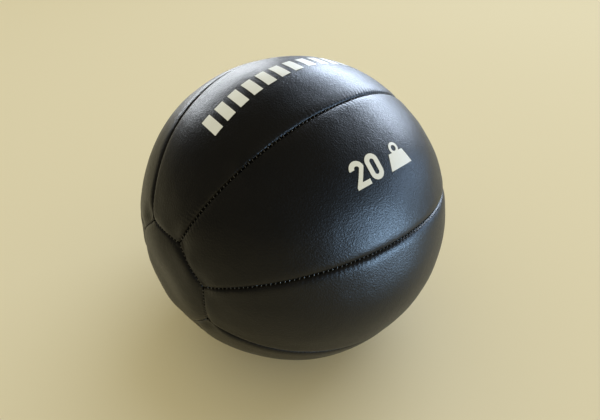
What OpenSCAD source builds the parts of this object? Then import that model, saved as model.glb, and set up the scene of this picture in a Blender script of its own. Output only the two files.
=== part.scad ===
// Leather medicine ball of eight gores and two eight-sided end caps.
// Origin: centre of the flat rest patch on the floor. +Z is up and +X runs along the polar axis,
// from the left end cap to the right one. Millimetres.

/* [Ball] */
// Radius of the ball over the middle of a gore
ball_r = 175; // [168:1:185]
// Radius of a gore's cushion curve across its width
gore_bulge_r = 140; // [130:1:155]
// How far a gore's lengthwise curve eases in towards the end caps
end_ease = 5; // [3:0.5:7]
// Angle between the polar axis and a corner of an end cap
cap_corner_angle = 20; // [18:0.5:22]
// Radius of an end cap's cushion curve
cap_bulge_r = 140; // [130:1:155]
// How far the middle of an end cap sits inside the ball radius
cap_set_back = 1.6; // [0.5:0.1:4]
// Height of the part of the ball that is pressed flat by the floor
flat_depth = 3.5; // [2:0.25:5]

/* [Cover] */
// Thickness of the leather
leather_t = 2; // [1.6:0.1:2.4]
// Thickness of the cotton backing behind each panel
lining_t = 0.8; // [0.5:0.1:1]
// Depth of the turned-in seam allowance, below the leather face
seam_allowance = 10; // [8:0.5:12]
// Gap between the two turned-in edges of a seam
seam_gap = 0.2; // [0.1:0.05:0.4]
// Clearance between layers that lie on each other
layer_gap = 0.1; // [0.05:0.05:0.2]

/* [Stitching] */
// Diameter of the waxed thread
thread_d = 0.9; // [0.6:0.1:1.1]
// Diameter of the awl holes that the thread passes through
awl_d = 1.1; // [0.9:0.1:1.3]
// Length of one machine stitch
stitch_pitch = 4; // [3.5:0.5:8]
// Depth of the stitch line below the leather face
stitch_depth = 4.6; // [4:0.2:6]
// Length of the opening that is closed by hand after filling
closing_length = 112; // [80:8:140]

/* [Filling] */
// Radius of the round ballast sack
sack_r = 128; // [110:1:132]
// Thickness of the sack's canvas
sack_t = 1.2; // [0.8:0.1:2]
// Radius of the sack's gathered neck, under the tie
neck_r = 11; // [9:0.5:14]
// Diameter of the cord that ties the sack's neck
tie_d = 3; // [2:0.5:4]
// Number of turns of cord around the neck
tie_turns = 3; // [2:1:4]

/* [Printing] */
// Thickness of the white transfer film
film_t = 0.2; // [0.1:0.05:0.3]
// Height of the printed marks
print_h = 23.5; // [20:0.5:28]
// Height of the weight mark's lower edge over its gore's middle line
weight_low = -9; // [-14:0.5:0]
// Distance of the weight mark's middle from the ball's middle, along the gore
weight_middle = -12; // [-30:1:30]
// Width of one weight figure
figure_w = 14; // [12:1:18]
// Width of the strokes of the weight figures
stroke_w = 4.6; // [4:0.2:5]
// Space between the weight figures
figure_space = 2.6; // [2:0.2:5]
// Width of the picture of a weight beside the figures
sign_w = 30; // [20:1:32]
// Height of the plain band's lower edge over its gore's middle line
band_low = -12.5; // [-14:0.5:0]
// Number of bars in the plain band
bar_count = 13; // [8:1:14]
// Angle from the ball's middle to the band's left end
band_left = -38; // [-45:1:-20]
// Angle from the ball's middle to the band's right end
band_right = 34; // [20:1:45]
// Share of the band that is covered by bars
bar_share = 0.62; // [0.4:0.02:0.7]
// How far the top of a bar leans to the right
bar_slant = 3; // [0:1:6]

/* [Hidden] */
$fn = 120;
SIDES = ["back", "top_back", "top", "top_front", "front", "bottom_front", "bottom", "bottom_back"];
ENDS = ["left", "right"];

gores = len(SIDES);
gore_step = 360 / gores;
gore_half = gore_step / 2;
// Angle between the polar axis and the middle of an end cap's side
cap_side_angle = atan(tan(cap_corner_angle) * cos(gore_half));
// Half of the angle that one side of an end cap spans
cap_side_half = asin(sin(cap_corner_angle) * sin(gore_half));
centre_z = ball_r - flat_depth;
gore_rim_r = ball_r - end_ease;
cap_centre = ball_r - cap_set_back - cap_bulge_r;
reach = 2 * ball_r;

// The layers of a seam, counted outwards from its middle plane
leather_edge = seam_gap / 2;
lining_edge = leather_edge + leather_t + layer_gap;
thread_edge = lining_edge + lining_t + layer_gap;
stuffing_edge = thread_edge + thread_d + layer_gap;
// The same layers, counted inwards from the leather face
lining_depth = leather_t + layer_gap;
stuffing_depth = lining_depth + lining_t + layer_gap;

// Radius of a seam where it shows, found from the gore's form in the middle of the seam
seam_r = seam_radius(ball_r, 8);
stitch_r = seam_r - stitch_depth;
core_r = seam_r - seam_allowance - 1;
// Length left without stitches where a seam meets a corner of an end cap
corner_room = 4;
cap_corner_room = 2;
seam_half = 90 - cap_corner_angle - arc_angle(corner_room, seam_r);
cap_seam_half = cap_side_half - arc_angle(cap_corner_room, seam_r);
stitch_step = arc_angle(stitch_pitch, stitch_r);
closing_half = arc_angle(closing_length / 2, stitch_r);
closing_seam = 8;
bottom_gore = 6;

leather_colour = [0.07, 0.07, 0.08];
cotton_colour = [0.82, 0.77, 0.66];
thread_colour = [0.16, 0.16, 0.17];
print_colour = [0.93, 0.92, 0.86];

// Angle that an arc of this length spans
function arc_angle(length, r) = length / r * 180 / PI;

// Radius of a seam at the ball's equator, found by repeating one step of a search
function seam_radius(r, steps) =
    let (bulge = sqrt(gore_bulge_r ^ 2 - (r * sin(gore_half)) ^ 2))
    steps == 0 ? r : seam_radius((gore_rim_r - gore_bulge_r + bulge + end_ease) / cos(gore_half), steps - 1);

// Angles of the stitch holes, evenly spaced about the middle of a seam
function stitch_angles(half) =
    let (n = floor(2 * half / stitch_step))
    [for (i = [0:n]) (i - n / 2) * stitch_step];

// The closing seam has machine stitches at its two ends only
function machine_angles(seam) =
    [for (a = stitch_angles(seam_half)) if (seam != closing_seam || abs(a) > closing_half) a];

// Hand stitches are twice as long as machine stitches
function hand_angles() =
    let (n = floor((closing_half - stitch_step) / stitch_step))
    [for (i = [0:n]) (2 * i - n) * stitch_step];

function seam_angles(seam) =
    seam == closing_seam ? concat(machine_angles(seam), hand_angles()) : machine_angles(seam);

/* ---- Places ---- */

module at_gore(i) {
    translate([0, 0, centre_z]) rotate([i * gore_step - 90, 0, 0]) children();
}

// A seam's plane holds the X axis, and its middle is along +Z
module at_seam(i) {
    translate([0, 0, centre_z]) rotate([(i - 0.5) * gore_step - 90, 0, 0]) children();
}

module at_end(e) {
    translate([0, 0, centre_z]) rotate([0, e == 0 ? -90 : 90, 0]) children();
}

/* ---- Panels ---- */

// Cushion form of a gore, lying across +Z: inset is the depth below the leather face
module gore_form(inset) {
    translate([0, 0, end_ease]) rotate([90, 0, 0]) rotate_extrude()
        intersection() {
            translate([gore_rim_r - gore_bulge_r, 0]) circle(gore_bulge_r - inset);
            translate([0, -ball_r / 2]) square([reach, ball_r]);
        }
}

// Wedge about the X axis that opens along +Z, with both of its faces moved in by edge
module wedge(half_angle, edge) {
    tip = edge / sin(half_angle);
    half_mouth = reach * tan(half_angle);
    rotate([90, 0, 90]) linear_extrude(2 * reach, center = true)
        polygon([[0, tip], [half_mouth, tip + reach], [-half_mouth, tip + reach]]);
}

// Everything from the ball's centre out to a layer of gore i; the bottom gore is flattened by the floor
module gore_block(i, inset, edge) {
    top = i == bottom_gore ? centre_z - inset : reach;
    intersection() {
        gore_form(inset);
        wedge(gore_half, edge);
        rotate([0, 0, 90]) wedge(90 - cap_side_angle, edge);
        translate([-reach, -reach, 0]) cube([2 * reach, 2 * reach, top]);
    }
}

// One layer of gore i with its turned-in seam allowances
module gore_layer(i, inset, edge, t) {
    difference() {
        gore_block(i, inset, edge);
        gore_block(i, inset + t, edge + t);
        gore_form(seam_allowance);
    }
}

// Form of an end cap, centred on +Z
module cap_form(inset) {
    translate([0, 0, cap_centre]) sphere(cap_bulge_r - inset);
}

module cap_block(inset, edge) {
    intersection() {
        cap_form(inset);
        intersection_for(k = [0:gores / 2 - 1])
            rotate([0, 0, k * gore_step]) wedge(cap_side_angle, edge);
    }
}

module cap_layer(inset, edge, t) {
    difference() {
        cap_block(inset, edge);
        cap_block(inset + t, edge + t);
        cap_form(seam_allowance);
    }
}

/* ---- Stitching ---- */

// Straight holes or thread legs through a seam whose plane is XZ and whose middle is along +Z
module legs(angles, d, half_length) {
    for (a = angles)
        rotate([0, a, 0]) translate([0, 0, stitch_r]) rotate([90, 0, 0])
            cylinder(h = 2 * half_length, d = d, center = true, $fn = 16);
}

// Thread that runs along one face of the seam, from angle a to angle b
module thread_run(a, b, side) {
    rotate([90, 0, 0]) translate([0, 0, side * (thread_edge + thread_d / 2)]) rotate([0, 0, 90 - b])
        rotate_extrude(angle = b - a) translate([stitch_r, 0]) circle(d = thread_d, $fn = 16);
}

// Lock-stitched thread: one run on each face of the seam, and a leg through every hole between them
module stitching(angles) {
    legs(angles, thread_d, thread_edge - layer_gap / 4);
    for (side = [-1, 1]) thread_run(min(angles), max(angles), side);
}

// Turns a seam's frame onto side k of an end cap, in the frame of the cap
module at_cap_side(k) {
    rotate([0, 0, k * gore_step]) rotate([cap_side_angle, 0, 0]) children();
}

// Turns a seam's frame onto one of the two short ends of a gore, in the frame of the gore
module at_gore_end(side) {
    rotate([0, side * (90 - cap_side_angle), 0]) rotate([0, 0, 90]) children();
}

module gore_holes(i) {
    for (side = [0, 1])
        rotate([(side - 0.5) * gore_step, 0, 0])
            legs(seam_angles((i + side + gores - 1) % gores + 1), awl_d, stuffing_edge);
    for (side = [-1, 1])
        at_gore_end(side) legs(stitch_angles(cap_seam_half), awl_d, stuffing_edge);
}

module cap_holes() {
    for (k = [0:gores - 1])
        at_cap_side(k) legs(stitch_angles(cap_seam_half), awl_d, stuffing_edge);
}

/* ---- Cover ---- */

module gore(i) {
    color(leather_colour) at_gore(i) difference() {
        gore_layer(i, 0, leather_edge, leather_t);
        gore_holes(i);
    }
}

module gore_lining(i) {
    color(cotton_colour) at_gore(i) difference() {
        gore_layer(i, lining_depth, lining_edge, lining_t);
        gore_holes(i);
    }
}

module end_cap(e) {
    color(leather_colour) at_end(e) difference() {
        cap_layer(0, leather_edge, leather_t);
        cap_holes();
    }
}

module end_cap_lining(e) {
    color(cotton_colour) at_end(e) difference() {
        cap_layer(lining_depth, lining_edge, lining_t);
        cap_holes();
    }
}

module seam_thread(i) {
    color(thread_colour) at_seam(i)
        if (i == closing_seam) {
            stitching([for (a = machine_angles(i)) if (a < 0) a]);
            stitching([for (a = machine_angles(i)) if (a > 0) a]);
        } else {
            stitching(machine_angles(i));
        }
}

module end_cap_thread(e) {
    color(thread_colour) at_end(e)
        for (k = [0:gores - 1]) at_cap_side(k) stitching(stitch_angles(cap_seam_half));
}

module closing_thread() {
    color(thread_colour) at_seam(closing_seam) stitching(hand_angles());
}

/* ---- Filling ---- */

// The gathered neck leaves the round body at shoulder_r, is narrowest under the tie and flares to the frill
shoulder_r = 2 * neck_r;
shoulder_z = sqrt(sack_r ^ 2 - shoulder_r ^ 2);
tie_h = tie_turns * tie_d;
tie_low = shoulder_z + neck_r;
tie_high = tie_low + tie_h;
frill_z = tie_high + neck_r;
frill_r = 1.9 * neck_r;

// The sack's outer form, grown by a clearance
module sack_form(grow) {
    sphere(sack_r + grow);
    rotate_extrude() polygon([
        [0, 0],
        [shoulder_r + grow, shoulder_z - neck_r],
        [neck_r + grow, tie_low - grow],
        [neck_r + grow, tie_high + grow],
        [frill_r + grow, frill_z + grow],
        [0, frill_z + grow]
    ]);
}

module ballast_sack() {
    throat_low = shoulder_z - neck_r;
    throat_r = 1.4 * neck_r;
    color([0.72, 0.66, 0.52]) translate([0, 0, centre_z]) difference() {
        sack_form(0);
        sphere(sack_r - sack_t);
        // The throat narrows towards the tie
        translate([0, 0, throat_low])
            cylinder(h = tie_low - throat_low - sack_t, r1 = throat_r, r2 = sack_t);
    }
}

// The sand fills the round body, and settles a little below its top
module ballast_sand() {
    sand_top = sack_r - 2 * sack_t;
    color([0.78, 0.68, 0.48]) translate([0, 0, centre_z]) intersection() {
        sphere(sack_r - sack_t - layer_gap);
        translate([-reach, -reach, -reach]) cube([2 * reach, 2 * reach, reach + sand_top]);
    }
}

module sack_tie_cord() {
    cord_d = tie_d - layer_gap / 2;
    turn_r = neck_r + layer_gap / 2 + cord_d / 2;
    color([0.86, 0.8, 0.64]) translate([0, 0, centre_z])
        for (i = [0:tie_turns - 1])
            translate([0, 0, tie_low + (i + 0.5) * tie_d])
                rotate_extrude() translate([turn_r, 0]) circle(d = cord_d, $fn = 24);
}

// Fibre packed into everything between the sack and the linings
module stuffing_form() {
    difference() {
        union() {
            for (i = [0:gores - 1])
                rotate([i * gore_step - 90, 0, 0]) gore_block(i, stuffing_depth, stuffing_edge);
            for (e = [0, 1])
                rotate([0, e == 0 ? -90 : 90, 0]) cap_block(stuffing_depth, stuffing_edge);
            sphere(core_r);
        }
        sack_form(layer_gap);
        // Room for the tie
        translate([0, 0, tie_low - layer_gap])
            cylinder(h = tie_h + 2 * layer_gap, r = neck_r + tie_d + 2 * layer_gap);
    }
}

// The two halves of the filling meet at the height of the ball's centre
module stuffing_half(low) {
    translate([0, 0, centre_z]) intersection() {
        stuffing_form();
        translate([-reach, -reach, low]) cube([2 * reach, 2 * reach, reach]);
    }
}

module stuffing_upper() {
    color([0.55, 0.53, 0.5]) stuffing_half(layer_gap / 2);
}

module stuffing_lower() {
    color([0.5, 0.49, 0.47]) stuffing_half(-reach - layer_gap / 2);
}

/* ---- Printing ---- */

// Space under the film, so that it lies on the leather and not in it
film_gap = 0.02;

// Film that lies on a gore's face, where the upright strokes of its children meet it
module film() {
    intersection() {
        difference() {
            gore_form(-film_gap - film_t);
            gore_form(-film_gap);
        }
        union() children();
    }
}

module stroke() {
    linear_extrude(reach) children();
}

// Upright bar with round ends, w wide and h high, with its edge moved in by inset
module rounded_bar(w, h, inset) {
    r = w / 2 - inset;
    for (y = [w / 2, h - w / 2]) translate([w / 2, y]) stroke() circle(r);
    translate([inset, w / 2]) stroke() square([2 * r, h - w]);
}

module figure_zero(w, h) {
    difference() {
        rounded_bar(w, h, 0);
        rounded_bar(w, h, stroke_w);
    }
}

// A bowl, a straight sloping stroke and a flat foot
module figure_two(w, h) {
    r = w / 2;
    knee = h - r;
    stroke() difference() {
        translate([r, knee]) circle(r);
        translate([r, knee]) circle(r - stroke_w);
        translate([-stroke_w, 0]) square([w, knee]);
        translate([r, 0]) square([w, knee - 1]);
    }
    stroke() polygon([[w - stroke_w, knee], [w, knee], [stroke_w, stroke_w / 2], [0, stroke_w / 2]]);
    stroke() square([w, stroke_w]);
}

// Plain picture of a weight: a tapered block with a round eye on top
module weight_sign(w, h) {
    eye_r = 0.24 * h;
    block_h = h - 1.6 * eye_r;
    shoulder = 0.18 * w;
    stroke() polygon([[0, 0], [w, 0], [w - shoulder, block_h], [shoulder, block_h]]);
    translate([w / 2, h - eye_r]) stroke() difference() {
        circle(eye_r);
        circle(eye_r / 2);
    }
}

module weight_print() {
    figures_w = 2 * figure_w + figure_space;
    total_w = figures_w + 3 * figure_space + sign_w;
    color(print_colour) at_gore(3) film() translate([weight_middle - total_w / 2, weight_low]) {
        figure_two(figure_w, print_h);
        translate([figure_w + figure_space, 0]) figure_zero(figure_w, print_h);
        translate([total_w - sign_w, 0]) weight_sign(sign_w, print_h);
    }
}

// One slanted bar of the plain band, w wide, centred on the gore's middle
module band_bar(w) {
    lean = bar_slant / 2;
    high = band_low + print_h;
    stroke() polygon([
        [-w / 2 - lean, band_low],
        [w / 2 - lean, band_low],
        [w / 2 + lean, high],
        [-w / 2 + lean, high]
    ]);
}

// Row of slanted bars, evenly spaced along the gore
module band_print() {
    step = (band_right - band_left) / bar_count;
    bar_w = ball_r * step * PI / 180 * bar_share;
    color(print_colour) at_gore(2)
        for (i = [0:bar_count - 1])
            rotate([0, band_left + (i + 0.5) * step, 0]) film() band_bar(bar_w);
}

gore(0);  // gore_back
gore(1);  // gore_top_back
gore(2);  // gore_top
gore(3);  // gore_top_front
gore(4);  // gore_front
gore(5);  // gore_bottom_front
gore(6);  // gore_bottom
gore(7);  // gore_bottom_back
gore_lining(0);  // gore_lining_back
gore_lining(1);  // gore_lining_top_back
gore_lining(2);  // gore_lining_top
gore_lining(3);  // gore_lining_top_front
gore_lining(4);  // gore_lining_front
gore_lining(5);  // gore_lining_bottom_front
gore_lining(6);  // gore_lining_bottom
gore_lining(7);  // gore_lining_bottom_back
end_cap(0);  // end_cap_left
end_cap(1);  // end_cap_right
end_cap_lining(0);  // end_cap_lining_left
end_cap_lining(1);  // end_cap_lining_right
seam_thread(1);  // seam_thread_1
seam_thread(2);  // seam_thread_2
seam_thread(3);  // seam_thread_3
seam_thread(4);  // seam_thread_4
seam_thread(5);  // seam_thread_5
seam_thread(6);  // seam_thread_6
seam_thread(7);  // seam_thread_7
seam_thread(8);  // seam_thread_8
end_cap_thread(0);  // end_cap_thread_left
end_cap_thread(1);  // end_cap_thread_right
closing_thread();
stuffing_upper();
stuffing_lower();
ballast_sack();
sack_tie_cord();
ballast_sand();
weight_print();
band_print();
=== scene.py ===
"""Looks of the medicine ball: leather panels blown up by cloth simulation, sewn seams and printed marks.

Everything is in metres in the frame of the CAD model: +X is the polar axis, +Z is up, and the ball
rests on the floor at z = 0. A panel is made in its own frame, where its middle points along +Z.
"""
from math import asin, atan, cos, degrees, pi, radians, sin, sqrt, tan

import bmesh
import bpy
import numpy as np
from numpy.polynomial.chebyshev import chebvander
from mathutils import Matrix, Vector
from mathutils.geometry import delaunay_2d_cdt


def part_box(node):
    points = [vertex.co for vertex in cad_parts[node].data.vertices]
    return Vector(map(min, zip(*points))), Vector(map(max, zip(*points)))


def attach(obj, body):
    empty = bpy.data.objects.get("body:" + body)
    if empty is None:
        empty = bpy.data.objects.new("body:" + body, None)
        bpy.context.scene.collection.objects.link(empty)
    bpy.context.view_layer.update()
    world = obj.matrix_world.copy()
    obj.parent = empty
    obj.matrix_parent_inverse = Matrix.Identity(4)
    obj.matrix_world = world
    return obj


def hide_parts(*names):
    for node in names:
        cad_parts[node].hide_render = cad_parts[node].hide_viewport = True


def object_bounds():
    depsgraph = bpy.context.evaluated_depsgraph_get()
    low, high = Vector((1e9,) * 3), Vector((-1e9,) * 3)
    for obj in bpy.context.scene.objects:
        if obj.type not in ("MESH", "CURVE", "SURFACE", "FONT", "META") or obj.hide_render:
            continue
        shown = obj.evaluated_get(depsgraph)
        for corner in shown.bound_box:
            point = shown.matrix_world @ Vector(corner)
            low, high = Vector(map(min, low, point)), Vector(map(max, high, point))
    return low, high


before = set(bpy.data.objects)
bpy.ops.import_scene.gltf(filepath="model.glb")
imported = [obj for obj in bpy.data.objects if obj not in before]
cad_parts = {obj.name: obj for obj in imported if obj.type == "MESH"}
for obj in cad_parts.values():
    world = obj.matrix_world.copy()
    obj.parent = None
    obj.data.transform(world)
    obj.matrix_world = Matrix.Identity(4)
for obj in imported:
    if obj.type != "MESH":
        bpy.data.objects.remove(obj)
cad_low, cad_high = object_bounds()

MM = 0.001

# ---- The ball, from the frame ----
RADIUS = (cad_high.y - cad_low.y) / 2
CENTRE = Vector((0, 0, cad_high.z - RADIUS))
MIDDLE = np.array(CENTRE)
FLOOR_Z = cad_low.z

SIDES = ("back", "top_back", "top", "top_front", "front", "bottom_front", "bottom", "bottom_back")
ENDS = ("left", "right")
STEP = 2 * pi / len(SIDES)
HALF = STEP / 2
CAP_CORNER = radians(20)
CAP_SIDE = atan(tan(CAP_CORNER) * cos(HALF))
CAP_SIDE_HALF = asin(sin(CAP_CORNER) * sin(HALF))
SEAM_HALF = pi / 2 - CAP_CORNER

# ---- Leather ----
LEATHER_T = 2.0 * MM
LINING_T = 0.8 * MM
FLANGE_DEPTH = 8.0 * MM       # how far a panel's edge is turned in
SLIT_HALF = 0.22 * MM         # half of the gap between two turned-in edges
ROLL_DEPTH = 2.0 * MM         # how deep the leather rolls into a seam
ROLL_REACH = 2.0 * MM         # how far from the seam that roll starts
SHOULDER = 0.60 * MM          # how much the filling gives way towards a seam
SHOULDER_REACH = 4.5 * MM
LIFT_REACH = 14.0 * MM        # distance from a seam over which the simulated swelling rises
BUMPS = (0.22 * MM, 90 * MM), (0.05 * MM, 34 * MM), (0.02 * MM, 14 * MM)    # heights and lengths
STITCH_PITCH = 4.0 * MM
ROWS_PER_STITCH = 6
SEAM_R = 0.98 * RADIUS        # radius of the seams where they show


# ---- noise and turns ----

def waves(points, wavelength, seed, count=24):
    """Smooth random field of about unit size, with features of the given wavelength."""
    rng = np.random.default_rng(seed)
    direction = rng.normal(size=(count, points.shape[-1]))
    direction /= np.linalg.norm(direction, axis=1)[:, None]
    frequency = 2 * pi / wavelength * rng.uniform(0.6, 1.5, count)
    phase = rng.uniform(0, 2 * pi, count)
    total = np.zeros(points.shape[:-1])
    for way, speed, offset in zip(direction, frequency, phase):
        total += np.sin(points @ way * speed + offset)
    return total / sqrt(count / 2)


def turning(angle, axis):
    return np.array(Matrix.Rotation(angle, 3, axis))


def to_side(step):
    """Turns local +Z to a side, counted from +Y towards +Z."""
    return turning(step * STEP - pi / 2, "X")


def circle(count):
    """Angles that are evenly spaced around a circle."""
    return np.arange(count) / count * 2 * pi


# ---- plain panel forms ----

# The forms repeat the CAD design: a gore is a piece of a ring that curves more across than along.
BULGE_R = 0.8 * RADIUS
GORE_EASE = 5 / 175 * RADIUS
CAP_SET_BACK = 1.6 / 175 * RADIUS
POLE = np.array([[0, 0, 1.0]])


def gore_radius(rays):
    """Distance from the ball's centre to a gore's form, by Newton's method."""
    x, y, z = rays.T
    ring = RADIUS - GORE_EASE - BULGE_R
    radius = np.full(x.shape, RADIUS)
    for _ in range(6):
        reach = np.hypot(x * radius, z * radius - GORE_EASE)
        rise = np.sqrt(BULGE_R**2 - (y * radius) ** 2)
        miss = reach - ring - rise
        slope = (x * x * radius + z * (z * radius - GORE_EASE)) / reach + y * y * radius / rise
        radius = radius - miss / slope
    return radius


def cap_radius(rays):
    offset = RADIUS - CAP_SET_BACK - BULGE_R
    along = offset * rays[..., 2]
    return along + np.sqrt(BULGE_R**2 - offset**2 + along**2)


def gore_rays(seam_angles, across, inset=0.0):
    """Unit vectors of a gore: rows follow the seam angle, columns go from one seam (-1) to the other (1).

    All four edges are moved in by the inset."""
    turn = np.arctan2(np.sin(seam_angles), np.cos(seam_angles) * cos(HALF))
    turn = turn * (1 - inset / RADIUS / np.abs(turn).max())
    widest = np.arctan(np.cos(turn) * tan(HALF))
    lean = np.cos(widest) * cos(HALF) + np.sin(widest) * np.cos(turn) * sin(HALF)
    side = across[None, :] * (widest - inset / RADIUS / lean)[:, None]
    turn = np.broadcast_to(turn[:, None], side.shape)
    return stacked(np.cos(side) * np.sin(turn), np.sin(side), np.cos(side) * np.cos(turn))


def cap_rays(share, around, inset=0.0):
    """Unit vectors of an end cap: rows go from its middle (0) to its sides (1), columns go around."""
    from_side = (around + HALF) % STEP - HALF
    tilt = share[:, None] * np.arctan(tan(CAP_SIDE - inset / RADIUS) / np.cos(from_side))
    rings = stacked(np.sin(tilt) * np.cos(around), np.sin(tilt) * np.sin(around), np.cos(tilt))
    return np.vstack([rings, POLE])


def stacked(x, y, z):
    return np.stack([x, y, z], -1).reshape(-1, 3)


# ---- stitches, seams and panels ----

STITCH_LINE = 4.6 * MM        # depth at which the stitches are spaced out
STITCH_STEP = STITCH_PITCH / (SEAM_R - STITCH_LINE)
CORNER_ROOM = 4.0 * MM        # length without stitches at the end of a long seam
CAP_CORNER_ROOM = 2.0 * MM
CLOSING_SEAM = 8              # this seam's middle is closed by hand, after filling
CLOSING_HALF = 56 * MM / (SEAM_R - STITCH_LINE)
PULL_WIDENS = 0.60            # a stitch pulls the leather in and makes the groove this much wider
PULL_REACH = 0.3 * STITCH_STEP
PUCKER = 0.28 * MM            # depth of the small folds that run out from the stitches
TIGHT_SEAM, TIGHT_PUCKER = 3, 0.70 * MM     # this seam is sewn tighter and has deeper folds
PUCKER_REACH = 3.5 * MM


def stitch_angles(half):
    count = int(2 * half / STITCH_STEP)
    return (np.arange(count + 1) - count / 2) * STITCH_STEP


def seam_stitches(seam):
    """Angles of a long seam's machine stitches and hand stitches."""
    machine = stitch_angles(SEAM_HALF - CORNER_ROOM / SEAM_R)
    if seam != CLOSING_SEAM:
        return machine, machine[:0]
    count = int((CLOSING_HALF - STITCH_STEP) / STITCH_STEP)
    hand = (2 * np.arange(count + 1) - count) * STITCH_STEP
    return machine[np.abs(machine) > CLOSING_HALF], hand


CAP_STITCHES = stitch_angles(CAP_SIDE_HALF - CAP_CORNER_ROOM / SEAM_R)


def pull_at(angles, stitches):
    """1 at a stitch and 0 between stitches."""
    stitches = np.sort(stitches)
    place = np.clip(np.searchsorted(stitches, angles), 1, len(stitches) - 1)
    away = np.minimum(np.abs(angles - stitches[place - 1]), np.abs(angles - stitches[place]))
    return np.exp(-((away / PULL_REACH) ** 2))


def near_seam(distances, reach):
    """1 at a seam, and 0 far away from all of them."""
    return sum(np.exp(-3 * np.clip(d, 0, None) / reach) for d in distances) ** (1 / 3)


def grid_faces(rows, cols, wrap=False):
    row, col = np.meshgrid(np.arange(rows - 1), np.arange(cols if wrap else cols - 1), indexing="ij")
    following = (col + 1) % cols
    corners = [row * cols + col, (row + 1) * cols + col, (row + 1) * cols + following, row * cols + following]
    return np.stack(corners, -1).reshape(-1, 4).tolist()


class Panel:
    """Surface of a leather panel, in the frame where its middle points along +Z.

    coarse is the grid that is simulated, and orders are the highest orders of the panel's shapes."""

    lift = None                   # amounts of the panel's shapes, from the simulation

    def body_radius(self, rays):
        """Radius of the swollen panel with the filling's bumps, before its leather rolls into the seams."""
        place, seam = rays * RADIUS, near_seam(self.distances(rays), SHOULDER_REACH)
        bumps = sum(high * waves(place, long, self.seed + n) for n, (high, long) in enumerate(BUMPS))
        bumps = bumps * (1 - np.clip(seam, 0, 1)) - SHOULDER * seam
        return self.plain_radius(rays) + self.shapes(rays) @ self.lift + bumps

    def face_radius(self, rays):
        """Radius of the leather's face, which rolls into the seams and has folds beside the stitches."""
        squeeze = folds = 0
        strength = np.clip(0.55 + 0.45 * waves(rays * RADIUS, 38 * MM, self.relief_seed), 0.1, 1.3)
        for distance, pull, seam in zip(self.distances(rays), self.pulls(rays), self.seams):
            reach = ROLL_REACH * (1 + PULL_WIDENS * pull)
            squeeze = squeeze + np.clip(1 - (distance - SLIT_HALF) / reach, 0, 1) ** 2
            depth = TIGHT_PUCKER if seam == TIGHT_SEAM else PUCKER
            folds = folds + depth * pull * np.exp(-distance / PUCKER_REACH)
        squeeze = np.sqrt(np.clip(squeeze, 0, 1))
        folds = np.where(squeeze >= 1, 0, folds * (1 - squeeze))
        return self.body_radius(rays) - ROLL_DEPTH * (1 - np.sqrt(1 - squeeze**2)) - strength * folds

    def shapes(self, rays):
        """Smooth shapes that are zero at the seams; the panel's swelling is a sum of them."""
        first, second = self.place_of(rays)
        inner = np.clip(1 - near_seam(self.distances(rays), LIFT_REACH), 0, 1)
        lengthwise = chebvander(np.clip(first, -1, 1), self.orders[0])
        crosswise = chebvander(np.clip(second, -1, 1), self.orders[1])
        both = lengthwise[:, :, None] * crosswise[:, None, :]
        return both.reshape(len(rays), (self.orders[0] + 1) * (self.orders[1] + 1)) * inner[:, None]


class Gore(Panel):
    kind, orders = "gore", (12, 6)
    coarse = np.linspace(-SEAM_HALF, SEAM_HALF, 80), np.linspace(-1, 1, 26)
    rays = staticmethod(gore_rays)
    plain_radius = staticmethod(gore_radius)

    def __init__(self, index):
        self.side = SIDES[index]
        self.turn = to_side(index)
        self.seed, self.relief_seed = 300 + 10 * index, 400 + index
        self.seams = [(index - 1) % len(SIDES) + 1, index + 1, 0, 0]

    def place_of(self, rays):
        """Shares along and across the gore, both from -1 to 1."""
        x, y, z = rays.T
        widest = np.arctan(np.cos(np.arctan2(x, z)) * tan(HALF))
        return np.arctan(x / z * cos(HALF)) / SEAM_HALF, np.arcsin(y) / widest

    def distances(self, rays):
        """Distance to the planes of the two long seams and of the two end seams."""
        x, y, z = rays.T
        across, along = z * sin(HALF), z * sin(pi / 2 - CAP_SIDE)
        sides = [across - y * cos(HALF), across + y * cos(HALF)]
        ends = [along - x * sin(CAP_SIDE), along + x * sin(CAP_SIDE)]
        return [SEAM_R * d for d in sides + ends]

    def pulls(self, rays):
        """How near to a stitch each direction is, seam by seam."""
        x, y, z = rays.T
        angle = np.arctan(x / z * cos(HALF))
        sides = [pull_at(angle, np.concatenate(seam_stitches(seam))) for seam in self.seams[:2]]
        return sides + [pull_at(np.arcsin(np.clip(y, -1, 1)), CAP_STITCHES)] * 2

    @staticmethod
    def mesh(rows, cols):
        """Faces, and the border in the direction in which the faces run along it."""
        index = np.arange(len(rows) * len(cols)).reshape(len(rows), len(cols))
        border = np.concatenate([index[:, 0], index[-1, 1:], index[-2::-1, -1], index[0, -2:0:-1]])
        return grid_faces(len(rows), len(cols)), border


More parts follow.
